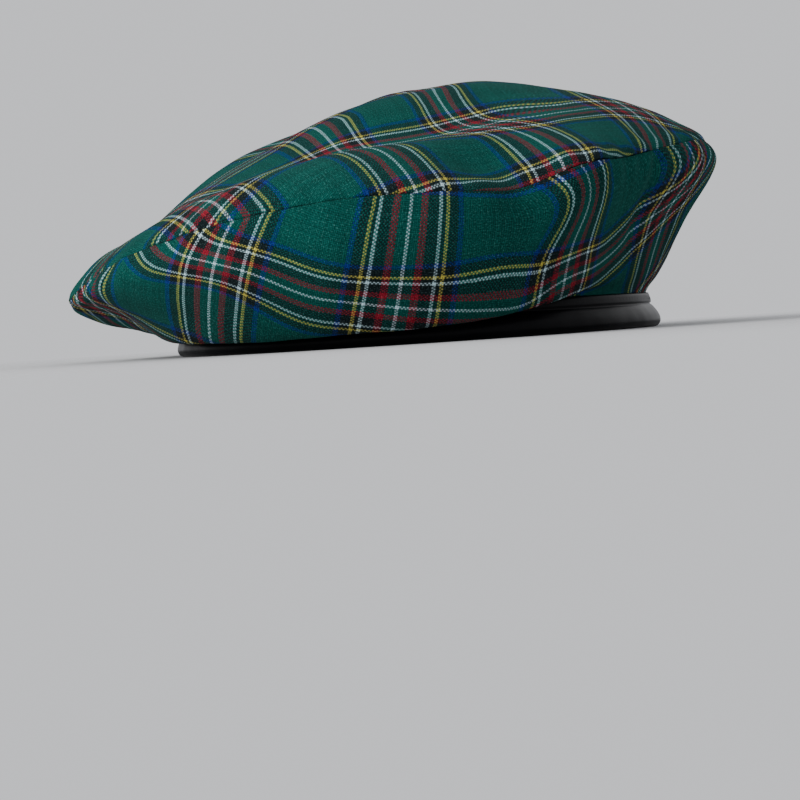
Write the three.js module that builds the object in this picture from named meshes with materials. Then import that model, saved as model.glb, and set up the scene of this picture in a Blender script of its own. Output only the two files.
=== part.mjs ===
// A soft beret-shaped tartan cap: a round crown disc, a ring-shaped side panel and a folded binding.
// Millimetres. +Z is up, -Y is the wearer's front and +X the wearer's left. The binding stands on z = 0.
import * as THREE from 'three';

// Driving sizes
const OPENING_HALF_WIDTH = 77; // inside of the binding, temple to temple
const OPENING_HALF_LENGTH = 101; // inside of the binding, brow to nape
const SIDE_WIDTH = 58; // side panel's cloth from the binding to the perimeter seam
const DISC_RADIUS = 131; // crown disc, laid flat
const CROWN_HEIGHT = 88.5; // middle of the crown above the binding's foot
const CLOTH = 1.4; // wall of both cloth panels
const SEAM_GAP = 0.4; // groove between the two panels along the perimeter seam

const BINDING_HEIGHT = 12; // foot to the top of the outer leaf
const BINDING_STRIP = 1.3; // thickness of the folded strip
const BINDING_ROLL = 6.8; // how far the rounded lower roll stands out from the inner face
const BINDING_SLIT = 2.3; // space between the two leaves, where the cloth's edge sits
const BINDING_CREASE = 8.2; // height of the pressed line under the outer leaf
const CLOTH_IN_BINDING = 3.6; // depth of the cloth's edge between the leaves

const STEPS_AROUND = 84;
const SIDE_ROWS = 12;
const CROWN_ROWS = 10;

const SLIT_MIDDLE = BINDING_STRIP + BINDING_SLIT / 2;

// The side panel's sections, one each thirty degrees from the brow round by the wearer's left.
// Each goes sag, belly, rim, seam: places out from the binding and up from its foot, in shares of
// SIDE_WIDTH. over is how far the cloth folds over the binding's edge before it falls.
const SIDE_SECTIONS = [
  { over: 1.0, sagOut: 0.18, sagUp: 0.08, bellyOut: 0.40, bellyUp: 0.32, rimOut: 0.50, rimUp: 0.57, seamOut: 0.47, seamUp: 0.79 },
  { over: 0.8, sagOut: 0.12, sagUp: 0.15, bellyOut: 0.32, bellyUp: 0.40, rimOut: 0.42, rimUp: 0.66, seamOut: 0.41, seamUp: 0.83 },
  { over: 0.3, sagOut: 0.06, sagUp: 0.30, bellyOut: 0.21, bellyUp: 0.60, rimOut: 0.38, rimUp: 0.87, seamOut: 0.40, seamUp: 1.00 },
  { over: 0.2, sagOut: 0.06, sagUp: 0.32, bellyOut: 0.27, bellyUp: 0.66, rimOut: 0.47, rimUp: 0.97, seamOut: 0.42, seamUp: 1.09 },
  { over: 0.3, sagOut: 0.07, sagUp: 0.29, bellyOut: 0.24, bellyUp: 0.58, rimOut: 0.45, rimUp: 0.90, seamOut: 0.42, seamUp: 1.03 },
  { over: 0.7, sagOut: 0.10, sagUp: 0.18, bellyOut: 0.28, bellyUp: 0.43, rimOut: 0.44, rimUp: 0.72, seamOut: 0.42, seamUp: 0.86 },
  { over: 1.0, sagOut: 0.14, sagUp: 0.11, bellyOut: 0.30, bellyUp: 0.33, rimOut: 0.44, rimUp: 0.59, seamOut: 0.44, seamUp: 0.74 },
  { over: 1.0, sagOut: 0.15, sagUp: 0.10, bellyOut: 0.35, bellyUp: 0.25, rimOut: 0.57, rimUp: 0.47, seamOut: 0.59, seamUp: 0.62 },
  { over: 1.0, sagOut: 0.13, sagUp: 0.11, bellyOut: 0.40, bellyUp: 0.22, rimOut: 0.67, rimUp: 0.36, seamOut: 0.69, seamUp: 0.48 },
  { over: 1.0, sagOut: 0.12, sagUp: 0.14, bellyOut: 0.38, bellyUp: 0.27, rimOut: 0.65, rimUp: 0.36, seamOut: 0.67, seamUp: 0.43 },
  { over: 1.0, sagOut: 0.12, sagUp: 0.15, bellyOut: 0.38, bellyUp: 0.28, rimOut: 0.66, rimUp: 0.35, seamOut: 0.69, seamUp: 0.38 },
  { over: 1.0, sagOut: 0.20, sagUp: 0.08, bellyOut: 0.44, bellyUp: 0.26, rimOut: 0.62, rimUp: 0.47, seamOut: 0.60, seamUp: 0.62 },
];

// Soft folds, each a smooth push on the cloth round one place. Angles are in degrees from the brow
// towards the wearer's left. Places, sizes and pushes are in shares of DISC_RADIUS: out from the
// middle of the opening and up from the foot, half sizes around, in and up, then the push itself.
const FOLDS = [
  { fold: 'flat slope at the right brow', angle: -46, out: 0.74, up: 0.45, around: 0.5, inward: 0.2, tall: 0.2, pushOut: 0, pushUp: -0.06 },
  { fold: 'shoulder at the right ear', angle: -60, out: 0.86, up: 0.22, around: 0.3, inward: 0.09, tall: 0.16, pushOut: 0.01, pushUp: 0.02 },
  { fold: 'low crown on the right', angle: -62, out: 0.26, up: 0.62, around: 0.3, inward: 0.22, tall: 0.5, pushOut: 0, pushUp: -0.035 },
  { fold: 'low crown on the left', angle: 88, out: 0.5, up: 0.62, around: 0.5, inward: 0.16, tall: 0.5, pushOut: 0, pushUp: -0.012 },
  { fold: 'hollow behind the brow', angle: -6, out: 0.54, up: 0.56, around: 0.42, inward: 0.19, tall: 0.5, pushOut: 0, pushUp: -0.10 },
  { fold: 'pinch at the left brow', angle: 30, out: 0.92, up: 0.34, around: 0.07, inward: 0.18, tall: 0.16, pushOut: -0.02, pushUp: -0.006 },
  { fold: 'dimple behind the left brow', angle: 24, out: 0.83, up: 0.38, around: 0.09, inward: 0.08, tall: 0.3, pushOut: 0, pushUp: -0.035 },
  { fold: 'lobe beside the pinch', angle: 41, out: 0.88, up: 0.38, around: 0.12, inward: 0.2, tall: 0.14, pushOut: 0.045, pushUp: 0.02 },
];

const CAP_SECTIONS = SIDE_SECTIONS.length;

// Value of one table column at any angle, on a smooth closed curve through the rows.
function around(rows, column, angle) {
  const place = (angle / (2 * Math.PI)) * rows.length;
  const first = Math.floor(place);
  const share = place - first;
  const at = (step) => rows[(((first + step) % rows.length) + rows.length) % rows.length][column];
  const [before, start, end, after] = [at(-1), at(0), at(1), at(2)];
  const slopeIn = (end - before) / 2;
  const slopeOut = (after - start) / 2;
  const square = share * share;
  const cube = square * share;
  return (
    (2 * cube - 3 * square + 1) * start +
    (cube - 2 * square + share) * slopeIn +
    (3 * square - 2 * cube) * end +
    (cube - square) * slopeOut
  );
}

// Distance from the middle of the head opening to the binding's inner face.
function openingOut(angle) {
  return 1 / Math.hypot(Math.sin(angle) / OPENING_HALF_WIDTH, Math.cos(angle) / OPENING_HALF_LENGTH);
}

function place(angle, out, up) {
  return new THREE.Vector3(out * Math.sin(angle), -out * Math.cos(angle), up);
}

function wrapped(angle) {
  return Math.atan2(Math.sin(angle), Math.cos(angle));
}

// Moves a point of the cloth by every fold. free is 0 where the cloth is held and 1 where it is loose.
function folded(point, free) {
  const angle = Math.atan2(point.x, -point.y);
  const out = Math.hypot(point.x, point.y);
  let pushOut = 0;
  let pushUp = 0;
  for (const fold of FOLDS) {
    const aside = (wrapped(angle - THREE.MathUtils.degToRad(fold.angle)) * out) / (fold.around * DISC_RADIUS);
    const inward = (out - fold.out * DISC_RADIUS) / (fold.inward * DISC_RADIUS);
    const above = (point.z - fold.up * DISC_RADIUS) / (fold.tall * DISC_RADIUS);
    const strength = free * Math.exp(-aside * aside - inward * inward - above * above) * DISC_RADIUS;
    pushOut += strength * fold.pushOut;
    pushUp += strength * fold.pushUp;
  }
  return place(angle, out + pushOut, point.z + pushUp);
}

// One section of the side panel, from its edge inside the binding up to the perimeter seam.
function sideSection(angle) {
  const edge = openingOut(angle) + SLIT_MIDDLE;
  const cell = (column) => around(SIDE_SECTIONS, column, angle);
  const over = cell('over');
  const stop = (name) => place(angle, edge + cell(`${name}Out`) * SIDE_WIDTH, cell(`${name}Up`) * SIDE_WIDTH);
  return new THREE.CatmullRomCurve3(
    [
      place(angle, edge, BINDING_HEIGHT - CLOTH_IN_BINDING),
      place(angle, edge, BINDING_HEIGHT + 0.2 * CLOTH),
      place(angle, edge + over * 1.5 * CLOTH, BINDING_HEIGHT + 2 * CLOTH),
      stop('sag'),
      stop('belly'),
      stop('rim'),
      stop('seam'),
    ],
    false,
    'centripetal',
  );
}

function seamPoint(angle) {
  const out = openingOut(angle) + SLIT_MIDDLE + around(SIDE_SECTIONS, 'seamOut', angle) * SIDE_WIDTH;
  return place(angle, out, around(SIDE_SECTIONS, 'seamUp', angle) * SIDE_WIDTH);
}

// The seam's mean point: the crown disc's middle hangs over it.
function seamMiddle() {
  const middle = new THREE.Vector3();
  for (let row = 0; row < CAP_SECTIONS; row += 1) {
    middle.addScaledVector(seamPoint((row / CAP_SECTIONS) * 2 * Math.PI), 1 / CAP_SECTIONS);
  }
  return middle;
}

function sideGrid() {
  const grid = [];
  for (let step = 0; step < STEPS_AROUND; step += 1) {
    const curve = sideSection((step / STEPS_AROUND) * 2 * Math.PI);
    const points = curve.getSpacedPoints(SIDE_ROWS);
    const loose = (row) => THREE.MathUtils.smoothstep(row / SIDE_ROWS, 0.15, 0.5);
    grid.push(points.map((point, row) => folded(point, loose(row))));
  }
  return grid;
}

// The crown: a low dome over the tilted seam, round-shouldered where it turns down to the seam.
function crownGrid() {
  const middle = seamMiddle();
  const rise = CROWN_HEIGHT - middle.z;
  const grid = [];
  for (let step = 0; step < STEPS_AROUND; step += 1) {
    const seam = seamPoint((step / STEPS_AROUND) * 2 * Math.PI);
    const column = [];
    for (let row = 0; row < CROWN_ROWS; row += 1) {
      const share = 1 - (row / CROWN_ROWS) ** 1.3;
      const point = middle.clone().lerp(seam, share);
      const tilt = (seam.z - middle.z) * share ** 1.3;
      point.z = middle.z + tilt + rise * (1 - share ** 2.1) ** 0.9;
      column.push(folded(point, 1));
    }
    grid.push(column);
  }
  return { grid, middle: folded(new THREE.Vector3(middle.x, middle.y, CROWN_HEIGHT), 1) };
}

// Unit normals of a grid that closes on itself around the cap, facing away from the hollow.
function gridNormals(grid, middle) {
  const count = grid.length;
  const rows = grid[0].length;
  return grid.map((column, step) =>
    column.map((point, row) => {
      const aside = grid[(step + 1) % count][row].clone().sub(grid[(step - 1 + count) % count][row]);
      const next = row + 1 < rows ? column[row + 1] : middle ?? point;
      const last = row > 0 ? column[row - 1] : point;
      return aside.cross(next.clone().sub(last)).normalize();
    }),
  );
}

// Closes two skins over a panel of cloth. Each skin is a grid of columns around the cap.
// With tips the last row of each skin closes on its tip; otherwise both ends get an edge strip.
function closedPanel(outer, inner, tips) {
  const count = outer.length;
  const rows = outer[0].length;
  const positions = [];
  const push = (point) => positions.push(point.x, point.y, point.z) / 3 - 1;
  const outerIds = outer.map((column) => column.map(push));
  const innerIds = inner.map((column) => column.map(push));
  const triangles = [];
  const quad = (a, b, c, d) => triangles.push(a, b, c, a, c, d);
  for (let step = 0; step < count; step += 1) {
    const next = (step + 1) % count;
    for (let row = 0; row + 1 < rows; row += 1) {
      quad(outerIds[step][row], outerIds[next][row], outerIds[next][row + 1], outerIds[step][row + 1]);
      quad(innerIds[step][row + 1], innerIds[next][row + 1], innerIds[next][row], innerIds[step][row]);
    }
    quad(innerIds[step][0], innerIds[next][0], outerIds[next][0], outerIds[step][0]);
    if (!tips) {
      quad(outerIds[step][rows - 1], outerIds[next][rows - 1], innerIds[next][rows - 1], innerIds[step][rows - 1]);
    }
  }
  if (tips) {
    const [outerTip, innerTip] = tips.map(push);
    for (let step = 0; step < count; step += 1) {
      const next = (step + 1) % count;
      triangles.push(outerIds[step][rows - 1], outerIds[next][rows - 1], outerTip);
      triangles.push(innerIds[next][rows - 1], innerIds[step][rows - 1], innerTip);
    }
  }
  const geometry = new THREE.BufferGeometry();
  geometry.setAttribute('position', new THREE.Float32BufferAttribute(positions, 3));
  geometry.setIndex(triangles);
  geometry.computeVertexNormals();
  return geometry;
}

// Both cloth panels. They meet along the seam in one mitred groove, SEAM_GAP wide.
function clothPanels() {
  const side = sideGrid();
  const crown = crownGrid();
  const sideNormals = gridNormals(side);
  const crownNormals = gridNormals(crown.grid, crown.middle);
  const half = CLOTH / 2;
  const skin = (grid, normals, reach) =>
    grid.map((column, step) => column.map((point, row) => point.clone().addScaledVector(normals[step][row], reach)));
  const sideSkins = [skin(side, sideNormals, half), skin(side, sideNormals, -half)];
  const crownSkins = [skin(crown.grid, crownNormals, half), skin(crown.grid, crownNormals, -half)];
  for (let step = 0; step < STEPS_AROUND; step += 1) {
    const seam = side[step][SIDE_ROWS];
    const sideNormal = sideNormals[step][SIDE_ROWS];
    const bisector = sideNormal.clone().add(crownNormals[step][0]).normalize();
    const reach = half / Math.max(bisector.dot(sideNormal), 0.5);
    const along = side[(step + 1) % STEPS_AROUND][SIDE_ROWS]
      .clone()
      .sub(side[(step - 1 + STEPS_AROUND) % STEPS_AROUND][SIDE_ROWS])
      .normalize();
    const across = bisector.clone().cross(along).normalize();
    if (across.dot(crown.grid[step][1].clone().sub(side[step][SIDE_ROWS - 1])) < 0) {
      across.negate();
    }
    [1, -1].forEach((face, index) => {
      const edge = seam.clone().addScaledVector(bisector, face * reach);
      sideSkins[index][step][SIDE_ROWS] = edge.clone().addScaledVector(across, -SEAM_GAP / 2);
      crownSkins[index][step][0] = edge.clone().addScaledVector(across, SEAM_GAP / 2);
    });
  }
  const lift = new THREE.Vector3(0, 0, half);
  const tips = [crown.middle.clone().add(lift), crown.middle.clone().sub(lift)];
  return { side: closedPanel(sideSkins[0], sideSkins[1]), crown: closedPanel(crownSkins[0], crownSkins[1], tips) };
}

// The binding: one strip folded into a U over the cloth's edge. Its section is drawn as places
// [out from the inner face, up] and swept round the opening.
function bindingSection() {
  const outerFace = BINDING_STRIP + BINDING_SLIT;
  const leafFace = outerFace + BINDING_STRIP;
  const outside = new THREE.CatmullRomCurve3(
    [
      [0.78 * BINDING_ROLL, 0],
      [BINDING_ROLL, 0.25 * BINDING_CREASE],
      [0.98 * BINDING_ROLL, 0.6 * BINDING_CREASE],
      [leafFace - 0.15, BINDING_CREASE],
    ].map(([out, up]) => new THREE.Vector3(out, 0, up)),
    false,
    'centripetal',
  )
    .getPoints(5)
    .map((point) => [point.x, point.z]);
  return [
    [0.3, 0.5],
    [0.18 * BINDING_ROLL, 0],
    ...outside,
    [leafFace, BINDING_CREASE + 0.8],
    [leafFace, BINDING_HEIGHT],
    [outerFace, BINDING_HEIGHT],
    [outerFace, BINDING_CREASE - 0.6],
    [BINDING_ROLL - BINDING_STRIP, 0.45 * BINDING_CREASE],
    [0.6 * BINDING_ROLL, BINDING_STRIP],
    [1.5 * BINDING_STRIP, BINDING_STRIP],
    [BINDING_STRIP, 2 * BINDING_STRIP],
    [BINDING_STRIP, BINDING_HEIGHT],
    [0, BINDING_HEIGHT],
    [0, 1.5],
  ];
}

function bindingGeometry() {
  const section = bindingSection();
  const count = section.length;
  const positions = [];
  const triangles = [];
  for (let step = 0; step < STEPS_AROUND; step += 1) {
    const angle = (step / STEPS_AROUND) * 2 * Math.PI;
    const next = (step + 1) % STEPS_AROUND;
    section.forEach(([out, up], corner) => {
      positions.push(...place(angle, openingOut(angle) + out, up).toArray());
      const below = (corner + 1) % count;
      const [a, b] = [step * count + corner, step * count + below];
      const [c, d] = [next * count + below, next * count + corner];
      triangles.push(a, c, b, a, d, c);
    });
  }
  const geometry = new THREE.BufferGeometry();
  geometry.setAttribute('position', new THREE.Float32BufferAttribute(positions, 3));
  geometry.setIndex(triangles);
  geometry.computeVertexNormals();
  return geometry;
}

// Materials
const tartan = new THREE.MeshStandardMaterial({ color: 0x12534c, roughness: 0.9, metalness: 0 });
const blackStrip = new THREE.MeshStandardMaterial({ color: 0x15161a, roughness: 0.45, metalness: 0 });

// The cap
const panels = clothPanels();
const pieces = [
  ['top_panel', panels.crown, tartan],
  ['side_panel', panels.side, tartan],
  ['binding', bindingGeometry(), blackStrip],
].map(([name, geometry, material]) => {
  const mesh = new THREE.Mesh(geometry, material);
  mesh.name = name;
  return mesh;
});

// The origin is under the middle of the whole cap's box, on the face it stands on.
const cap = new THREE.Group();
cap.name = 'tam_o_shanter';
cap.add(...pieces);
const box = new THREE.Box3().setFromObject(cap, true);
const centre = box.getCenter(new THREE.Vector3());
pieces.forEach((piece) => piece.geometry.translate(-centre.x, -centre.y, -box.min.z));

export default cap;
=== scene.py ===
import math

import bpy
import numpy as np
from mathutils import Matrix, Vector, noise


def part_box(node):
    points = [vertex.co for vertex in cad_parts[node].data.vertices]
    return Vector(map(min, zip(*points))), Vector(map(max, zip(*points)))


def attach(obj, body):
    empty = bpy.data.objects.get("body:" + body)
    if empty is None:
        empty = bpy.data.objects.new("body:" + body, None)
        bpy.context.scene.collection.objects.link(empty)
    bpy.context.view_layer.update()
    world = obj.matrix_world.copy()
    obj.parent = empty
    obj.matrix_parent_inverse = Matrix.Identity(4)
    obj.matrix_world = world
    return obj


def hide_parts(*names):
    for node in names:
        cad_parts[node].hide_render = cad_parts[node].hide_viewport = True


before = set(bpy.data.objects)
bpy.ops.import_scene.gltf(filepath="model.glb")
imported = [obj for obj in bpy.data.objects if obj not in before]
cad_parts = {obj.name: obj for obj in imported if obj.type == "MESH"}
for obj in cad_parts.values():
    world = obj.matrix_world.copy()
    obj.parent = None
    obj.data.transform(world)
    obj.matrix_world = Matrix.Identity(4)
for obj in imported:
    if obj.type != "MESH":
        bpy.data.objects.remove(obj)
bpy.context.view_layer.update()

# Camera
# The cap was photographed from just left of its brow, at the height of its binding, standing slightly
# tipped in the picture. Here it stands level, so the camera is rolled, and it looks from above the floor.
MM = 0.001
binding_low, binding_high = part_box("binding")
OPENING = Vector(((binding_low[0] + binding_high[0]) / 2, (binding_low[1] + binding_high[1]) / 2, 0))
PICTURE_WIDTH = 800
PICTURE_MIDDLE = (400, 400)
OPENING_PIXEL = (422, 341)
PIXEL = 0.354 * MM
CAMERA_AZIMUTH = math.radians(13)
CAMERA_ROLL = math.radians(3.7)
CAMERA_DISTANCE = 1.0
CAMERA_HEIGHT = 8 * MM
CAMERA_ASIDE = -22 * PIXEL

away = Vector((-math.sin(CAMERA_AZIMUTH), math.cos(CAMERA_AZIMUTH), 0))
right = Vector((math.cos(CAMERA_AZIMUTH), math.sin(CAMERA_AZIMUTH), 0))
up = Vector((0, 0, 1))
aside, above = PICTURE_MIDDLE[0] - OPENING_PIXEL[0], OPENING_PIXEL[1] - PICTURE_MIDDLE[1]
aim = (
    OPENING
    + right * (aside * math.cos(CAMERA_ROLL) + above * math.sin(CAMERA_ROLL)) * PIXEL
    + up * (above * math.cos(CAMERA_ROLL) - aside * math.sin(CAMERA_ROLL)) * PIXEL
)
eye = OPENING - away * CAMERA_DISTANCE + right * CAMERA_ASIDE + up * CAMERA_HEIGHT
ahead = (aim - eye).normalized()
level = ahead.cross(up).normalized()
upright = level.cross(ahead)
camera_right = level * math.cos(CAMERA_ROLL) - upright * math.sin(CAMERA_ROLL)
camera_up = level * math.sin(CAMERA_ROLL) + upright * math.cos(CAMERA_ROLL)

camera_data = bpy.data.cameras.new("camera")
camera_data.sensor_width = 36
camera_data.lens = camera_data.sensor_width * CAMERA_DISTANCE / (PICTURE_WIDTH * PIXEL)
camera_data.clip_start = 0.05
camera_data.clip_end = 50
camera = bpy.data.objects.new("camera", camera_data)
camera_turn = Matrix((camera_right, camera_up, -ahead)).transposed().to_4x4()
camera.matrix_world = Matrix.Translation(eye) @ camera_turn
bpy.context.collection.objects.link(camera)
bpy.context.scene.camera = camera

# Floor and light
# A pale floor that fades into the pale grey air around it, so that no horizon shows from any side.
# One broad soft light stands up to the left of the camera, and a weak one fills in from behind.
BACKDROP = (0.76, 0.77, 0.80)
FLOOR_COLOUR = (0.53, 0.53, 0.535)
FLOOR_RADIUS = 1.6
FADE_FROM, FADE_TO = 0.13, 0.42


class Wire:
    """An output socket in a shader. Arithmetic on it adds Math nodes."""

    def __init__(self, tree, socket=None):
        self.tree, self.socket = tree, socket

    def node(self, kind, settings=None, inputs=None, output=0):
        """Adds a node: first its settings, then the values or wires of its inputs."""
        made = self.tree.nodes.new(kind)
        for name, value in (settings or {}).items():
            if name == "stops":
                ramp = made.color_ramp
                while len(ramp.elements) < len(value):
                    ramp.elements.new(1)
                for stop, (place, colour) in zip(ramp.elements, value):
                    stop.position = place
                    stop.color = (*colour, 1)
            elif name == "interpolation" and hasattr(made, "color_ramp"):
                made.color_ramp.interpolation = value
            else:
                setattr(made, name, value)
        for name, value in (inputs or {}).items():
            if isinstance(value, Wire):
                self.tree.links.new(value.socket, made.inputs[name])
            else:
                made.inputs[name].default_value = value
        return Wire(self.tree, made.outputs[output])

    def beside(self, output):
        """Another output of the node that this wire comes from."""
        return Wire(self.tree, self.socket.node.outputs[output])

    def math(self, operation, *values):
        return self.node("ShaderNodeMath", {"operation": operation}, dict(enumerate(values)))

    def __add__(self, other):
        return self.math("ADD", self, other)

    def __sub__(self, other):
        return self.math("SUBTRACT", self, other)

    def __rsub__(self, other):
        return self.math("SUBTRACT", other, self)

    def __mul__(self, other):
        return self.math("MULTIPLY", self, other)

    def __truediv__(self, other):
        return self.math("DIVIDE", self, other)

    def __mod__(self, other):
        return self.math("FLOORED_MODULO", self, other)

    def __gt__(self, other):
        return self.math("GREATER_THAN", self, other)

    __radd__ = __add__
    __rmul__ = __mul__

    def floor(self):
        return self.math("FLOOR", self)

    def mix(self, first, second):
        """The colour first where this wire is 0 and second where it is 1."""
        return self.node(
            "ShaderNodeMix", {"data_type": "RGBA"}, {0: self, 6: rgba(first), 7: rgba(second)}, output=2
        )


def rgba(colour):
    return colour if isinstance(colour, Wire) else (*colour, 1)


def new_material(name, **finish):
    """A material with its constant finish set on the shader's own sockets, and a wire to start from."""
    material = bpy.data.materials.new(name)
    material.use_nodes = True
    shader = material.node_tree.nodes["Principled BSDF"]
    for socket, value in finish.items():
        shader.inputs[socket.replace("_", " ")].default_value = value
    return material, Wire(material.node_tree), shader


def feed(shader, socket, wire):
    wire.tree.links.new(wire.socket, shader.inputs[socket])


def new_object(name, mesh, material):
    piece = bpy.data.objects.new(name, mesh)
    mesh.materials.append(material)
    bpy.context.collection.objects.link(piece)
    return piece


floor_material, start, shader = new_material("floor", Roughness=0.9)
shader.inputs["Base Color"].default_value = (*FLOOR_COLOUR, 1)
spot = start.node("ShaderNodeTexCoord", output="Object")
distance = start.node("ShaderNodeVectorMath", {"operation": "LENGTH"}, {0: spot}, output="Value")
fade = start.node(
    "ShaderNodeMapRange",
    {"interpolation_type": "SMOOTHSTEP"},
    {0: distance, 1: FADE_FROM, 2: FADE_TO, 3: 1.0, 4: 0.0},
)
feed(shader, "Alpha", fade)

floor_mesh = bpy.data.meshes.new("floor")
FLOOR_SIDES = 96
rim = [
    (FLOOR_RADIUS * math.cos(turn), FLOOR_RADIUS * math.sin(turn), 0)
    for turn in np.linspace(0, 2 * math.pi, FLOOR_SIDES, endpoint=False)
]
floor_mesh.from_pydata(rim, [], [range(FLOOR_SIDES)])
floor = new_object("floor", floor_mesh, floor_material)

world = bpy.data.worlds.new("studio")
bpy.context.scene.world = world
world.use_nodes = True
world.node_tree.nodes["Background"].inputs["Color"].default_value = (*BACKDROP, 1)
LIT_HEIGHT = 40 * MM


def soft_light(name, azimuth, elevation, distance, size, watts):
    """A square area light round the cap, turned to face it."""
    data = bpy.data.lights.new(name, "AREA")
    data.size = size
    data.energy = watts
    turn, tip = math.radians(azimuth), math.radians(elevation)
    back = Vector((math.sin(turn) * math.cos(tip), -math.cos(turn) * math.cos(tip), math.sin(tip)))
    lamp = bpy.data.objects.new(name, data)
    lamp.location = OPENING + up * LIT_HEIGHT + back * distance
    lamp.rotation_euler = (-back).to_track_quat("-Z", "Y").to_euler()
    bpy.context.collection.objects.link(lamp)


soft_light("key", azimuth=-42, elevation=26, distance=1.5, size=1.0, watts=25)
soft_light("back_fill", azimuth=160, elevation=30, distance=1.8, size=1.4, watts=2)

# Side panel
# A bent band of plain-woven green tartan cotton, 58 mm wide. Its lower edge is caught in the binding,
# and it sags over it at the brow and the wearer's right. Its upper edge is sewn to the crown disc.

# Lengths are in millimetres from here on, and MM makes them metres in a mesh or a material.
OPENING_HALF_WIDTH, OPENING_HALF_LENGTH = 77, 101
SIDE_WIDTH = 58
DISC_RADIUS = 131
CLOTH = 1.2
BINDING_HEIGHT = 12
CLOTH_IN_BINDING = 3.6
SLIT_MIDDLE = 2.45
INSET = 0.8

# One row each thirty degrees from the brow round by the wearer's left. Places go out from the binding
# and up from its foot, in shares of SIDE_WIDTH. over says how far the cloth folds over the binding.
SECTION_COLUMNS = "over sag_out sag_up belly_out belly_up rim_out rim_up seam_out seam_up".split()
SIDE_SECTIONS = np.array([
    [1.0, 0.18, 0.08, 0.40, 0.32, 0.50, 0.57, 0.47, 0.79],
    [0.8, 0.12, 0.15, 0.32, 0.40, 0.42, 0.66, 0.41, 0.83],
    [0.3, 0.06, 0.30, 0.21, 0.60, 0.38, 0.87, 0.40, 1.00],
    [0.2, 0.06, 0.32, 0.27, 0.66, 0.47, 0.97, 0.42, 1.09],
    [0.3, 0.07, 0.29, 0.24, 0.58, 0.45, 0.90, 0.42, 1.03],
    [0.7, 0.10, 0.18, 0.28, 0.43, 0.44, 0.72, 0.42, 0.86],
    [1.0, 0.14, 0.11, 0.30, 0.33, 0.44, 0.59, 0.44, 0.74],
    [1.0, 0.15, 0.10, 0.35, 0.25, 0.57, 0.47, 0.59, 0.62],
    [1.0, 0.13, 0.11, 0.40, 0.22, 0.67, 0.36, 0.69, 0.48],
    [1.0, 0.12, 0.14, 0.38, 0.27, 0.65, 0.36, 0.67, 0.43],
    [1.0, 0.12, 0.15, 0.38, 0.28, 0.66, 0.35, 0.69, 0.38],
    [1.0, 0.20, 0.08, 0.44, 0.26, 0.62, 0.47, 0.60, 0.62],
])

# Soft folds: the angle from the brow in degrees, then in shares of DISC_RADIUS the place out and up,
# the half sizes around, inward and tall, and the push out and up.
FOLD_COLUMNS = "angle out up around inward tall push_out push_up".split()
FOLDS = {
    "flat slope at the right brow": (-46, 0.74, 0.45, 0.5, 0.2, 0.2, 0, -0.06),
    "shoulder at the right ear": (-60, 0.86, 0.22, 0.3, 0.09, 0.16, 0.01, 0.02),
    "low crown on the right": (-62, 0.26, 0.62, 0.3, 0.22, 0.5, 0, -0.035),
    "low crown on the left": (88, 0.5, 0.62, 0.5, 0.16, 0.5, 0, -0.012),
    "hollow behind the brow": (-6, 0.54, 0.56, 0.42, 0.19, 0.5, 0, -0.10),
    "pinch at the left brow": (30, 0.92, 0.34, 0.07, 0.18, 0.16, -0.02, -0.006),
    "dimple behind the left brow": (24, 0.83, 0.38, 0.09, 0.08, 0.3, 0, -0.035),
    "lobe beside the pinch": (41, 0.88, 0.38, 0.12, 0.2, 0.14, 0.045, 0.02),
    "low hang over the right ear": (-72, 0.83, 0.12, 0.24, 0.1, 0.12, 0, -0.045),
    "crease down from the left seam": (62, 0.84, 0.3, 0.035, 0.2, 0.14, -0.016, 0),
    "crease behind the left ear": (100, 0.8, 0.33, 0.05, 0.2, 0.16, -0.016, 0),
    "dent in the middle of the brow": (-4, 0.98, 0.24, 0.07, 0.12, 0.1, -0.012, 0),
}

STEPS_AROUND = 560
SIDE_ROWS = 72
CURVE_STEPS = 16
LOOSE_FROM, LOOSE_TO = 0.15, 0.5


def bent_between(begin, leave, end, arrive, share):
    """The place at a share of the way from begin to end, on a curve with these slopes at its ends."""
    return (
        (2 * share**3 - 3 * share**2 + 1) * begin
        + (share**3 - 2 * share**2 + share) * leave
        + (3 * share**2 - 2 * share**3) * end
        + (share**3 - share**2) * arrive
    )


def around(column, angle):
    """A column of the section table at any angle, on a smooth closed curve through the rows."""
    rows = SIDE_SECTIONS[:, SECTION_COLUMNS.index(column)]
    place = angle / (2 * np.pi) * len(rows)
    first = np.floor(place).astype(int)
    share = place - first
    before, begin, end, after = (rows[(first + step) % len(rows)] for step in (-1, 0, 1, 2))
    return bent_between(begin, (end - before) / 2, end, (after - begin) / 2, share)


def opening_out(angle):
    return 1 / np.hypot(np.sin(angle) / OPENING_HALF_WIDTH, np.cos(angle) / OPENING_HALF_LENGTH)


def places(angle, out, height):
    """Points in millimetres from the middle of the opening, at an angle from the brow."""
    return np.stack([out * np.sin(angle), -out * np.cos(angle), height + 0 * angle], -1)


def folded(points, free):
    """The points moved by every fold. free is 0 where the cloth is held and 1 where it is loose."""
    angle = np.arctan2(points[..., 0], -points[..., 1])
    out = np.hypot(points[..., 0], points[..., 1])
    push_out, push_up = 0, 0
    for row in FOLDS.values():
        fold = dict(zip(FOLD_COLUMNS, row))
        turn = angle - math.radians(fold["angle"])
        aside = np.arctan2(np.sin(turn), np.cos(turn)) * out / (fold["around"] * DISC_RADIUS)
        inward = (out - fold["out"] * DISC_RADIUS) / (fold["inward"] * DISC_RADIUS)
        above = (points[..., 2] - fold["up"] * DISC_RADIUS) / (fold["tall"] * DISC_RADIUS)
        strength = free * np.exp(-(aside**2) - inward**2 - above**2) * DISC_RADIUS
        push_out = push_out + strength * fold["push_out"]
        push_up = push_up + strength * fold["push_up"]
    return places(angle, out + push_out, points[..., 2] + push_up)


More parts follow.
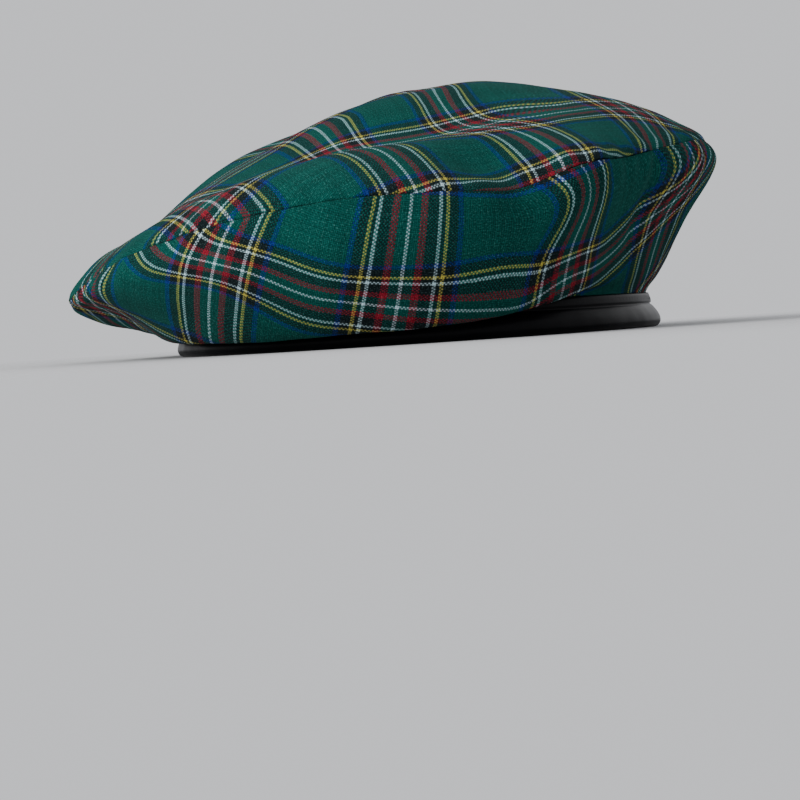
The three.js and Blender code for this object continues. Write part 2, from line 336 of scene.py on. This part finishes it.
def smooth_curve(stops, count):
    """A centripetal Catmull-Rom curve through the stops, resampled to count equal steps."""
    stops = np.vstack([2 * stops[0] - stops[1], stops, 2 * stops[-1] - stops[-2]])
    share = np.linspace(0, 1, CURVE_STEPS, endpoint=False)[:, None]
    stretches = []
    for a, b, c, d in zip(stops, stops[1:], stops[2:], stops[3:]):
        before, here, after = (np.linalg.norm(q - p) ** 0.5 for p, q in ((a, b), (b, c), (c, d)))
        leave = ((b - a) / before - (c - a) / (before + here) + (c - b) / here) * here
        arrive = ((c - b) / here - (d - b) / (here + after) + (d - c) / after) * here
        stretches.append(bent_between(b, leave, c, arrive, share))
    line = np.vstack([*stretches, stops[-2]])
    gone = walked(line, 0)
    marks = np.linspace(0, gone[-1], count + 1)
    return np.stack([np.interp(marks, gone, line[:, axis]) for axis in range(line.shape[1])], -1)


def side_section(angle):
    """Places [out, up] of one section of the side panel, from inside the binding to the seam."""
    edge = opening_out(angle) + SLIT_MIDDLE
    stops = [
        (-INSET, BINDING_HEIGHT - CLOTH_IN_BINDING),
        (-INSET, BINDING_HEIGHT + 0.1 * CLOTH),
        (around("over", angle) * 1.5 * CLOTH, BINDING_HEIGHT + 2 * CLOTH),
    ]
    for name in ("sag", "belly", "rim", "seam"):
        stops.append((around(f"{name}_out", angle) * SIDE_WIDTH, around(f"{name}_up", angle) * SIDE_WIDTH))
    return smooth_curve(np.array(stops, float), SIDE_ROWS) + (edge, 0)


def smoothstep(value, low, high):
    share = np.clip((value - low) / (high - low), 0, 1)
    return share * share * (3 - 2 * share)


SEED_STEP = np.array([7.3, 3.1, 5.7])


def unevenness(points, lumps):
    """Smooth unevenness in millimetres. Each row of lumps holds their height, their size and a seed."""
    total = 0
    for height, size, seed in lumps:
        flat = points.reshape(-1, 3) / size + seed * SEED_STEP
        lump = np.array([noise.noise(Vector(point)) for point in flat]).reshape(points.shape[:-1])
        total = total + height * lump
    return total


def normals_of(grid):
    """Unit normals of a grid that closes on itself around the cap, facing away from the hollow."""
    aside = np.roll(grid, -1, 0) - np.roll(grid, 1, 0)
    upward = np.gradient(grid, axis=1)
    normal = np.cross(aside, upward)
    return normal / np.linalg.norm(normal, axis=-1, keepdims=True)


def walked(lines, axis):
    """Distance walked along each line of points, from its first one."""
    steps = np.linalg.norm(np.diff(lines, axis=axis), axis=-1)
    start_at = np.zeros_like(np.take(steps, [0], axis))
    return np.concatenate([start_at, np.cumsum(steps, axis)], axis)


angles = np.linspace(0, 2 * np.pi, STEPS_AROUND, endpoint=False)
sections = np.stack([side_section(angle) for angle in angles])
side = places(angles[:, None], sections[..., 0], sections[..., 1])
row_share = np.linspace(0, 1, SIDE_ROWS + 1)
side = folded(side, smoothstep(row_share, LOOSE_FROM, LOOSE_TO))
side_normals = normals_of(side)

# The cut: where each point of the panel lay on the flat cloth before it was sewn, in the cloth's own
# directions, warp and weft. The band was cut as a bent strip, and the stripes run straight across it.
BAND_TURN = math.radians(237)
BAND_INNER = 138
STRAIGHT_AT = math.radians(27)
BAND_SHIFT = (36, -155)

# Where the cloth was eased or stretched a little as it was sewn and worn: the angle from the brow in
# degrees and the millimetres below the seam, the half sizes in both, and the shift along warp and weft.
EASE_COLUMNS = "angle below around tall warp weft".split()
BAND_EASES = {
    "gathered under the seam at the right brow": (-15, 5, 14, 9, 0, 3.5),
    "full over the right brow": (-20, 28, 11, 17, 0, -11),
    "lifted at the middle of the brow": (3, 16, 9, 14, 0, 4),
    "slack beside the pinch": (28, 22, 9, 14, 0, -6.5),
    "lifted behind the left brow": (46, 20, 13, 18, 0, 7),
    "lifted at the left temple": (76, 14, 14, 18, 0, 9),
    "pulled into the pinch": (35, 10, 8, 12, -11, 0),
    "pulled back at the left temple": (73, 3, 18, 22, -18, 0),
}


def eased(eases, angle, below, apart=1):
    """The shift along warp and weft at an angle from the brow, some way below the seam. apart is 1 where
    the angles lie well apart, and falls to 0 where they all meet in the middle of the crown."""
    shift = 0
    for row in eases.values():
        ease = dict(zip(EASE_COLUMNS, row))
        turn = angle - math.radians(ease["angle"])
        aside = np.arctan2(np.sin(turn), np.cos(turn)) / math.radians(ease["around"]) * apart
        strength = np.exp(-(aside**2) - ((below - ease["below"]) / ease["tall"]) ** 2)
        shift = shift + strength[..., None] * (ease["warp"], ease["weft"])
    return shift


middle_loop = np.concatenate([side[:, SIDE_ROWS // 2], side[:1, SIDE_ROWS // 2]])
band_share = walked(middle_loop, 0) / walked(middle_loop, 0)[-1]
straight_share = np.interp(STRAIGHT_AT, np.append(angles, 2 * np.pi), band_share)
below_seam = walked(side, 1)[:, -1:] - walked(side, 1)
band_reach = BAND_INNER + SIDE_WIDTH - below_seam
band_shift = BAND_SHIFT + eased(BAND_EASES, angles[:, None], below_seam)
BACK_STEP = STEPS_AROUND // 2


def band_cut(step, row, first):
    """Cut coordinates of grid corners. Steps past the join at the back are the band's other end."""
    turn = (band_share[step] - (first >= BACK_STEP) - straight_share) * BAND_TURN
    reach = band_reach[step % STEPS_AROUND, row]
    return np.stack([reach * np.sin(turn), reach * np.cos(turn)], -1) + band_shift[step % STEPS_AROUND, row]


def cloth_mesh(name, outer, inner, cut_of):
    """A closed cloth mesh between two skins, with its cut as a UV map in metres."""
    steps, rows = outer.shape[:2]
    ids = np.arange(steps * rows).reshape(steps, rows)
    corners, cuts = [], []

    def wall(grid_ids, flip):
        step, row = np.meshgrid(np.arange(steps), np.arange(rows - 1), indexing="ij")
        quad = [(step, row), (step + 1, row), (step + 1, row + 1), (step, row + 1)]
        if flip:
            quad.reverse()
        corners.append(np.stack([grid_ids[s % steps, r] for s, r in quad], -1).reshape(-1, 4))
        cuts.append(np.stack([cut_of(s, r, step) for s, r in quad], -2).reshape(-1, 4, 2))

    def edge(row, flip):
        step = np.arange(steps)
        quad = [(step, 0), (step, steps * rows), (step + 1, steps * rows), (step + 1, 0)]
        if flip:
            quad.reverse()
        corners.append(np.stack([ids[s % steps, row] + skin for s, skin in quad], -1))
        cuts.append(np.stack([cut_of(s, row + 0 * s, step) for s, skin in quad], -2))

    wall(ids, False)
    wall(ids + steps * rows, True)
    edge(0, False)
    edge(rows - 1, True)
    points = np.concatenate([outer.reshape(-1, 3), inner.reshape(-1, 3)])
    faces = np.concatenate(corners)
    mesh = bpy.data.meshes.new(name)
    mesh.from_pydata((points * MM + np.array(OPENING)).tolist(), [], faces.tolist())
    flat = mesh.uv_layers.new(name="cut")
    flat.uv.foreach_set("vector", (np.concatenate(cuts).reshape(-1, 2) * MM).astype(np.float32).ravel())
    mesh.shade_smooth()
    return mesh


# Crown disc
# One round of the same cloth, 262 mm across when flat, sewn face to face with the side panel and
# turned out. It stands up as a low dome and hangs down to the wearer's right.
CROWN_HEIGHT = 88.5
CROWN_ROWS = 78
ROW_SPREAD = 1.25
DOME_TILT, DOME_FLATNESS, DOME_SHOULDER = 1.3, 2.1, 0.9
DISC_TURN = math.radians(37)
DISC_SHIFT = (-15, -12.5)
MIDDLE_RADIUS = 50
DISC_EASES = {
    "slid towards the left ear": (44, 68, 42, 42, 0, 20),
    "slid back on the left": (48, 36, 25, 18, -11, 0),
    "pulled over the right brow": (-14, 50, 22, 36, 20, 0),
}


def seam_place(angle):
    out = opening_out(angle) + SLIT_MIDDLE + around("seam_out", angle) * SIDE_WIDTH
    return places(angle, out, around("seam_up", angle) * SIDE_WIDTH)


seam_line = seam_place(angles)
middle = seam_place(np.arange(len(SIDE_SECTIONS)) / len(SIDE_SECTIONS) * 2 * np.pi).mean(0)
# The rows end just short of the middle, so that the last ring of faces keeps a size
LAST_SHARE = 0.0004
inward_share = 1 - np.linspace(0, 1, CROWN_ROWS + 1) ** ROW_SPREAD * (1 - LAST_SHARE)
crown = middle + (seam_line - middle)[:, None] * inward_share[:, None]
tilt = (seam_line[:, None, 2] - middle[2]) * inward_share**DOME_TILT
dome = (1 - inward_share**DOME_FLATNESS) ** DOME_SHOULDER
crown[..., 2] = middle[2] + tilt + (CROWN_HEIGHT - middle[2]) * dome
crown = folded(crown, 1)
crown_normals = normals_of(crown)

from_seam = walked(crown, 1)
radius = from_seam[:, -1:] - from_seam
full = radius[:, :1]
outward = (radius / full) ** 2
disc_reach = radius * ((1 - outward) * DISC_RADIUS / full.mean() + outward * DISC_RADIUS / full)
seen_turn = np.unwrap(np.arctan2(seam_line[:, 0] - middle[0], -(seam_line[:, 1] - middle[1])))
seam_walk = walked(np.concatenate([seam_line, seam_line[:1]]), 0)
sewn_turn = seam_walk[:-1] / seam_walk[-1] * 2 * np.pi
sewn_turn = sewn_turn + (seen_turn - sewn_turn).mean()
disc_turn = (1 - outward) * seen_turn[:, None] + outward * sewn_turn[:, None]
apart = np.minimum(radius / MIDDLE_RADIUS, 1)
below_rim = from_seam + (full.mean() - full) * (1 - apart)
disc_shift = DISC_SHIFT + eased(DISC_EASES, angles[:, None], below_rim, apart)


def disc_cut(step, row, _first):
    step = step % STEPS_AROUND
    turn = disc_turn[step, row] - DISC_TURN
    reach = disc_reach[step, row]
    return np.stack([reach * np.cos(turn), reach * np.sin(turn)], -1) + disc_shift[step, row]


# Seam
# Both panels turn in where they meet, so the seam is a narrow valley, and the cloth beside it is
# slightly puckered by the thread.
SEAM_GAP = 0.1
SEAM_DIP = 0.6
SEAM_DIP_WIDTH = 1.5
PUCKER = 0.35
PUCKERS = 61
# How far the puckers drift from their even spacing, and how often round the seam
PUCKER_DRIFTS = [(2.1, 7), (1.3, 3)]
PUCKER_PLACE, PUCKER_WIDTH = 4, 5
SIDE_LUMPS = [(0.9, 30, 1), (0.24, 11, 2)]
CROWN_LUMPS = [(1.0, 36, 1), (0.24, 12, 2)]
LUMPS_FROM, LUMPS_TO = 0.1, 0.4

bisector = side_normals[:, -1] + crown_normals[:, 0]
bisector /= np.linalg.norm(bisector, axis=-1, keepdims=True)


def puckered(grid, normal, to_seam):
    """Pulls a panel into the seam's valley and ripples it beside the seam."""
    dip = SEAM_DIP * np.exp(-((to_seam / SEAM_DIP_WIDTH) ** 2))
    wave = angles * PUCKERS
    for drift, times in PUCKER_DRIFTS:
        wave = wave + drift * np.sin(angles * times)
    lift = PUCKER * np.sin(wave)[:, None] * np.exp(-(((to_seam - PUCKER_PLACE) / PUCKER_WIDTH) ** 2))
    return grid - bisector[:, None] * dip[..., None] + normal * lift[..., None]


uneven = unevenness(side, SIDE_LUMPS) * smoothstep(row_share, LUMPS_FROM, LUMPS_TO)
side = puckered(side, side_normals, below_seam) + side_normals * uneven[..., None]
uneven = unevenness(crown, CROWN_LUMPS)
crown = puckered(crown, crown_normals, from_seam) + crown_normals * uneven[..., None]
side_normals, crown_normals = normals_of(side), normals_of(crown)

across = np.cross(bisector, np.roll(seam_line, -1, 0) - np.roll(seam_line, 1, 0))
across /= np.linalg.norm(across, axis=-1, keepdims=True)
ROWS_ASIDE = 4
side_to_crown = crown[:, ROWS_ASIDE] - side[:, -1 - ROWS_ASIDE]
across *= np.sign((across * side_to_crown).sum(-1, keepdims=True))
skins = {}
for name, grid, normal, row, way in (
    ("side", side, side_normals, -1, -1),
    ("crown", crown, crown_normals, 0, 1),
):
    for face, reach in (("outer", CLOTH / 2), ("inner", -CLOTH / 2)):
        skin = grid + normal * reach
        skin[:, row] = grid[:, row] + bisector * reach + across * way * SEAM_GAP / 2
        skins[name, face] = skin

side_mesh = cloth_mesh("side_cloth", skins["side", "outer"], skins["side", "inner"], band_cut)
crown_mesh = cloth_mesh("crown_cloth", skins["crown", "outer"], skins["crown", "inner"], disc_cut)

# Tartan cloth
# Plain-woven green cotton with a common sett: each way a stripe group of blue, black, yellow, white,
# red and green about a white middle line, a hundred threads apart. The weft is packed a little closer.
WARP, WEFT = 0.6 * MM, 0.54 * MM
REPEAT = 100
GREEN = (0.0015, 0.053, 0.044)
BLUE = (0.006, 0.025, 0.115)
BLACK = (0.007, 0.013, 0.014)
YELLOW = (0.25, 0.22, 0.05)
WHITE = (0.25, 0.32, 0.34)
RED = (0.145, 0.01, 0.02)
FUZZ = (0.12, 0.19, 0.19)
# Colour and the thread it begins at, counted from the middle line of the group
STRIPES = [
    (WHITE, 0), (GREEN, 1), (RED, 6), (BLACK, 10), (WHITE, 16), (BLACK, 18), (YELLOW, 20), (BLACK, 22),
    (BLUE, 27), (GREEN, 30),
]
SLUB = 0.7
DYE_CHANGE = 0.36
TOP_THREAD_SHARE = 0.84
CROSSING_GLOW = 3
RELIEF = 0.1 * MM

tartan, start, shader = new_material(
    "tartan", Roughness=0.95, Specular_IOR_Level=0.01, Sheen_Weight=0.015, Sheen_Roughness=0.5
)
cut = start.node("ShaderNodeUVMap", {"uv_map": "cut"})
split = start.node("ShaderNodeSeparateXYZ", inputs={0: cut})
thickness = start.node("ShaderNodeTexNoise", inputs={"Vector": cut, "Scale": 500, "Detail": 1})
slub = thickness * SLUB - SLUB / 2
warp_at = split / WARP + slub
weft_at = split.beside(1) / WEFT + slub
warp_number, weft_number = warp_at.floor(), weft_at.floor()


def shaded(colour, painted_shade_and_tone):
    """A colour made darker or lighter by a wire that says how much."""
    return colour.node("ShaderNodeVectorMath", {"operation": "SCALE"}, {0: colour, "Scale": painted_shade_and_tone})


def thread_colour(number, seed):
    """The dyed colour of a thread, each one a little lighter or darker than the next."""
    to_middle = start.math("PINGPONG", number + 0.5, REPEAT / 2) / (REPEAT / 2)
    stops = [(begin / (REPEAT / 2), colour) for colour, begin in STRIPES]
    dyed = start.node("ShaderNodeValToRGB", {"interpolation": "CONSTANT", "stops": stops}, {0: to_middle})
    chance = start.node("ShaderNodeTexWhiteNoise", {"noise_dimensions": "1D"}, {"W": number + seed})
    return shaded(dyed, chance * DYE_CHANGE + (1 - DYE_CHANGE / 2))


def roundness(place):
    """Height across one thread, 0 at its sides and 1 on its back."""
    aside = place % 1 * 2 - 1
    return 1 - aside * aside


# Plain weave: each thread passes over one and under the next
weft_on_top = ((warp_number + weft_number) / 2 % 1) > 0.25
across_thread = weft_on_top * roundness(weft_at) + (1 - weft_on_top) * roundness(warp_at)
along_thread = weft_on_top * roundness(warp_at) + (1 - weft_on_top) * roundness(weft_at)
height = across_thread * (along_thread * 0.5 + 0.5)
warp_dye, weft_dye = thread_colour(warp_number, 11), thread_colour(weft_number, 37)
# The thread below shows through beside the one on top
dyed = (weft_on_top * TOP_THREAD_SHARE + (1 - TOP_THREAD_SHARE) / 2).mix(warp_dye, weft_dye)
# Where two light threads cross, no dark one lies beside them and the spot stands out
crossing = start.node("ShaderNodeVectorMath", {"operation": "MULTIPLY"}, {0: warp_dye, 1: weft_dye})
dyed = start.node(
    "ShaderNodeVectorMath",
    {"operation": "MULTIPLY_ADD"},
    {0: crossing, 1: (CROSSING_GLOW, CROSSING_GLOW, CROSSING_GLOW), 2: dyed},
)
patches = start.node("ShaderNodeTexNoise", inputs={"Vector": cut, "Scale": 45, "Detail": 3})
fibres = start.node("ShaderNodeTexNoise", inputs={"Vector": cut, "Scale": 1700, "Detail": 2})
# Pale ends of fibres stand out of the cloth where the fibre noise is high
loose_fibres = start.math("SMOOTH_MAX", fibres - 0.55, 0, 0.02)
dyed = (loose_fibres * 0.9).mix(dyed, FUZZ)
# Painted shade between the threads, darker where each thread sinks beside the next; also uneven from place
# to place, and speckled by the fibres
painted_shade_and_tone = (height * 0.9 + 0.42) * (patches * 0.3 + 0.85) * (fibres * 1.9 + 0.02)
feed(shader, "Base Color", shaded(dyed, painted_shade_and_tone))
relief = start.node("ShaderNodeBump", inputs={"Height": height, "Strength": 0.5, "Distance": RELIEF})
feed(shader, "Normal", relief)

side_cloth = new_object("side_cloth", side_mesh, tartan)
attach(side_cloth, "root")
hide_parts("side_panel")

crown_cloth = new_object("crown_cloth", crown_mesh, tartan)
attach(crown_cloth, "root")
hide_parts("top_panel")

# Binding
# A strip of smooth black leathercloth folded over the cloth's edge and sewn through near its top. Under
# the stitched leaf it is pressed into a crease, then flares out to a soft lip that curls under.
STRIP = 0.9
BINDING_STEPS = 420
LEAF_OUT, LEAF_TOP_OUT = 3.95, 3.05
LEAF_FOOT = 8.9
# The folded strip's section, out from the opening and up from the foot: under the lip and up its front,
# into the crease, up the stitched leaf, down behind it and round inside, and up and down the inner leaf
binding_stops = np.array([
    (0.25, 0.8), (0.9, 0.06), (1.4, 0), (4.2, 0), (5.3, 0.12), (6.3, 0.7), (6.85, 1.8), (6.85, 3.0),
    (6.3, 4.6), (5.3, 6.2), (4.4, 7.4), (3.75, 8.0), (3.3, 8.3), (3.8, 8.55),
    (LEAF_OUT, LEAF_FOOT), (3.75, 9.8), (3.4, 11.2), (LEAF_TOP_OUT, BINDING_HEIGHT),
    (2.5, BINDING_HEIGHT - 0.05), (2.3, 11.4), (2.35, 9.2), (2.5, 7.8), (4.3, 5.6), (5.6, 3.4),
    (5.7, 2.1), (5.0, 1.15), (3.8, STRIP), (2.0, STRIP), (1.1, 1.9), (STRIP, 3.5), (STRIP, 11.0),
    (STRIP - 0.15, BINDING_HEIGHT - 0.15), (0.5 * STRIP, BINDING_HEIGHT), (0.1, BINDING_HEIGHT - 0.3),
    (0, 11.0), (0, 3.0),
])
BINDING_CORNERS = 76
BINDING_LUMPS = [(0.35, 22, 5), (0.12, 7, 6)]
LIP_FROM, LIP_TO = 4, 5.6
LIP_FOOT, LIP_FREE = 0.2, 2
binding_outline = smooth_curve(np.vstack([binding_stops, binding_stops[:1]]), BINDING_CORNERS)[:-1]
turns = np.linspace(0, 2 * np.pi, BINDING_STEPS, endpoint=False)
outline_out, outline_up = binding_outline.T
binding_points = places(turns[:, None], opening_out(turns)[:, None] + outline_out, outline_up)
soft = smoothstep(outline_out, LIP_FROM, LIP_TO) * smoothstep(outline_up, LIP_FOOT, LIP_FREE)
swell = unevenness(binding_points, BINDING_LUMPS) * soft
binding_points[..., :2] *= 1 + (swell / np.linalg.norm(binding_points[..., :2], axis=-1))[..., None]
ids = np.arange(BINDING_STEPS * BINDING_CORNERS).reshape(BINDING_STEPS, BINDING_CORNERS)
next_ids = np.roll(ids, -1, 0)
binding_faces = np.stack([ids, next_ids, np.roll(next_ids, -1, 1), np.roll(ids, -1, 1)], -1)
binding_mesh = bpy.data.meshes.new("binding_strip")
binding_corners = binding_points.reshape(-1, 3) * MM + np.array(OPENING)
binding_mesh.from_pydata(binding_corners.tolist(), [], binding_faces.reshape(-1, 4).tolist())
binding_mesh.shade_smooth()

LEATHER_DARK = (0.001, 0.001, 0.0014)
LEATHER_WORN = (0.004, 0.004, 0.005)
GRAIN_RELIEF = 0.08 * MM
leathercloth, start, shader = new_material("black_leathercloth", Specular_IOR_Level=0.05)
spot = start.node("ShaderNodeTexCoord", output="Object")
grain = start.node("ShaderNodeTexVoronoi", {"feature": "SMOOTH_F1"}, {"Vector": spot, "Scale": 1400})
wear = start.node("ShaderNodeTexNoise", inputs={"Vector": spot, "Scale": 60, "Detail": 4})
feed(shader, "Base Color", wear.mix(LEATHER_DARK, LEATHER_WORN))
feed(shader, "Roughness", wear * 0.2 + 0.24)
relief = start.node("ShaderNodeBump", inputs={"Height": grain, "Strength": 0.25, "Distance": GRAIN_RELIEF})
feed(shader, "Normal", relief)

binding_strip = new_object("binding_strip", binding_mesh, leathercloth)
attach(binding_strip, "root")
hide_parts("binding")

# Stitches
# Black thread that holds the binding to the cloth: short upright stitches across the upper leaf, close
# together all the way round.
STITCH_PITCH = 3.0
STITCH_BOTTOM, STITCH_TOP = 9.1, 12.0
THREAD_RADIUS = 0.1
STITCH_SIDES = 6
STITCH_ARC = 7
STITCH_LEAN, LEAN_CHANGE = 0.006, 0.003
STITCH_PROUD, STITCH_SUNK = 0.12, 0.07
THREAD_DARK = (0.002, 0.002, 0.003)
THREAD_LIGHT = (0.009, 0.009, 0.010)

loop_turns = np.append(turns, 2 * np.pi)
loop_walk = walked(places(loop_turns, opening_out(loop_turns) + LEAF_OUT, 0), 0)
stitch_count = int(loop_walk[-1] / STITCH_PITCH)
stitch_points, stitch_faces = [], []
for stitch in range(stitch_count):
    angle = np.interp((stitch + 0.5) / stitch_count * loop_walk[-1], loop_walk, loop_turns)
    lean = STITCH_LEAN + LEAN_CHANGE * math.sin(stitch * 2.3)
    for bead in range(STITCH_ARC):
        rise = bead / (STITCH_ARC - 1)
        bead_up = STITCH_BOTTOM + rise * (STITCH_TOP - STITCH_BOTTOM)
        proud = STITCH_PROUD * math.sin(math.pi * rise) ** 0.5 - STITCH_SUNK
        leaf_rise = (bead_up - LEAF_FOOT) / (BINDING_HEIGHT - LEAF_FOOT)
        leaf_out = LEAF_OUT + (LEAF_TOP_OUT - LEAF_OUT) * leaf_rise
        centre = places(angle + lean * (rise - 0.5), opening_out(angle) + leaf_out + proud, bead_up)
        for side_number in range(STITCH_SIDES):
            turn = side_number / STITCH_SIDES * 2 * math.pi
            across_stitch = places(angle + math.pi / 2, THREAD_RADIUS * math.cos(turn), 0)
            out_stitch = places(angle, THREAD_RADIUS * math.sin(turn), 0)
            stitch_points.append((centre + across_stitch + out_stitch) * MM + np.array(OPENING))
    first = stitch * STITCH_ARC * STITCH_SIDES
    for bead in range(STITCH_ARC - 1):
        for side_number in range(STITCH_SIDES):
            here = first + bead * STITCH_SIDES + side_number
            beside = first + bead * STITCH_SIDES + (side_number + 1) % STITCH_SIDES
            stitch_faces.append((here, beside, beside + STITCH_SIDES, here + STITCH_SIDES))
    stitch_faces.append([first + side_number for side_number in reversed(range(STITCH_SIDES))])
    last = first + (STITCH_ARC - 1) * STITCH_SIDES
    stitch_faces.append([last + side_number for side_number in range(STITCH_SIDES)])

stitch_mesh = bpy.data.meshes.new("binding_stitches")
stitch_mesh.from_pydata([tuple(point) for point in stitch_points], [], stitch_faces)
stitch_mesh.shade_smooth()
thread, start, shader = new_material("black_thread", Roughness=0.5, Specular_IOR_Level=0.14)
spot = start.node("ShaderNodeTexCoord", output="Object")
ply = start.node("ShaderNodeTexNoise", inputs={"Vector": spot, "Scale": 2500, "Detail": 2})
feed(shader, "Base Color", ply.mix(THREAD_DARK, THREAD_LIGHT))
stitches = new_object("binding_stitches", stitch_mesh, thread)
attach(stitches, "root")
